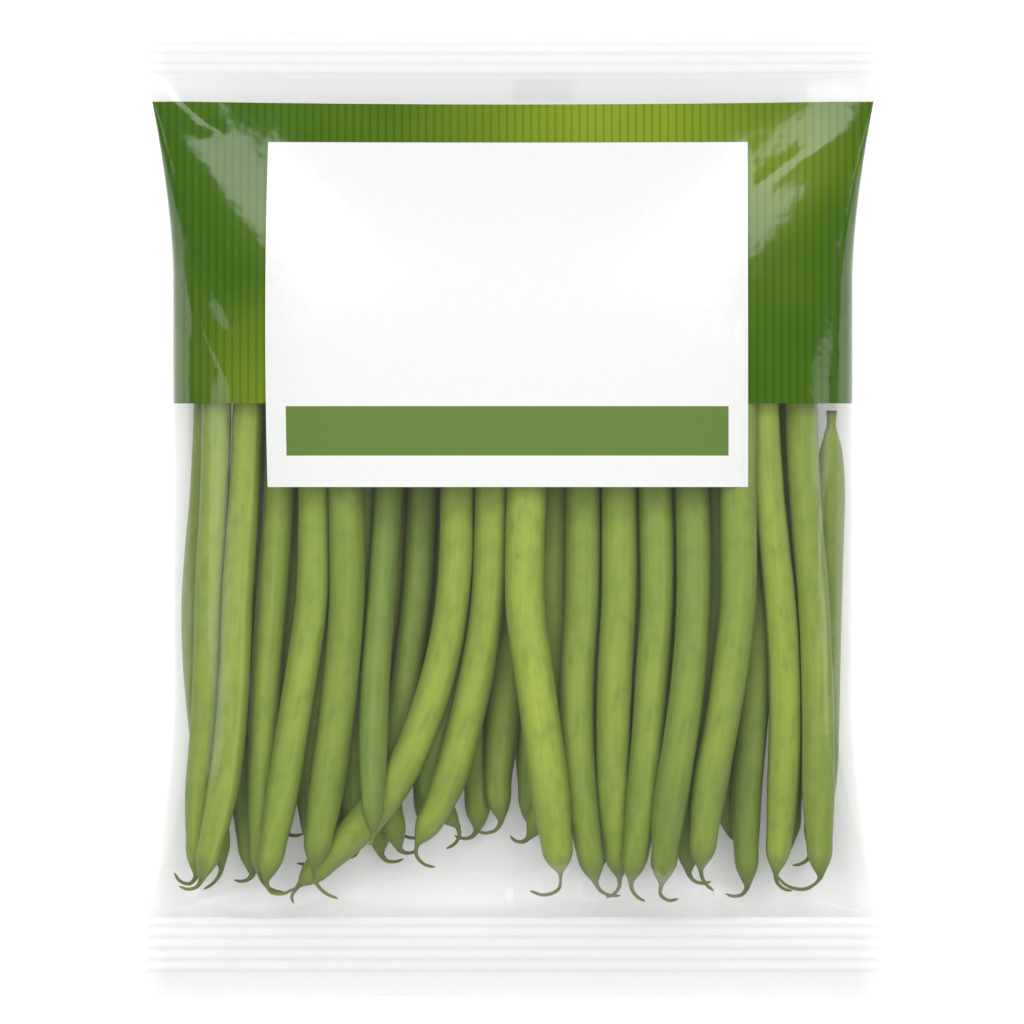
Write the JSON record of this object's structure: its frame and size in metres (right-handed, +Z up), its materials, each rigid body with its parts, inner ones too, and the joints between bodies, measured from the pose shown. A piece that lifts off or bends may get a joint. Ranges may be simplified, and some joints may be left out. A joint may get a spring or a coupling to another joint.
{
  "type": "bag of green beans",
  "caption": "Clear film pillow bag holding a bundle of long fresh green beans, with a plain green printed band and a blank label panel; lies flat on its back.",
  "frame": {"origin": "middle of the bag's footprint, on the surface that it lies on", "axes": "+X across the bag, +Y towards the top seal and the stalk ends, +Z up out of the printed front"},
  "size_m": [0.15, 0.1992, 0.0318],
  "materials": {
    "clear_film": "gloss",
    "bean_pod": "satin"
  },
  "bodies": {
    "root": {"bag_film": "clear_film", "bean_back_01": "bean_pod", "bean_back_02": "bean_pod", "bean_back_03": "bean_pod", "bean_back_04": "bean_pod", "bean_back_05": "bean_pod", "bean_back_06": "bean_pod", "bean_back_07": "bean_pod", "bean_back_08": "bean_pod", "bean_back_09": "bean_pod", "bean_back_10": "bean_pod", "bean_back_11": "bean_pod", "bean_back_12": "bean_pod", "bean_front_01": "bean_pod", "bean_front_02": "bean_pod", "bean_front_03": "bean_pod", "bean_front_04": "bean_pod", "bean_front_05": "bean_pod", "bean_front_06": "bean_pod", "bean_front_07": "bean_pod", "bean_front_08": "bean_pod", "bean_front_09": "bean_pod", "bean_front_10": "bean_pod", "bean_front_11": "bean_pod", "bean_front_12": "bean_pod", "bean_front_13": "bean_pod", "bean_front_14": "bean_pod", "bean_front_15": "bean_pod", "bean_front_16": "bean_pod", "bean_middle_01": "bean_pod", "bean_middle_02": "bean_pod", "bean_middle_03": "bean_pod", "bean_middle_04": "bean_pod", "bean_middle_05": "bean_pod", "bean_middle_06": "bean_pod", "bean_middle_07": "bean_pod", "bean_middle_08": "bean_pod", "bean_middle_09": "bean_pod", "bean_middle_10": "bean_pod", "bean_middle_11": "bean_pod", "bean_middle_12": "bean_pod", "bean_middle_13": "bean_pod", "bean_middle_14": "bean_pod"}
  },
  "joints": []
}
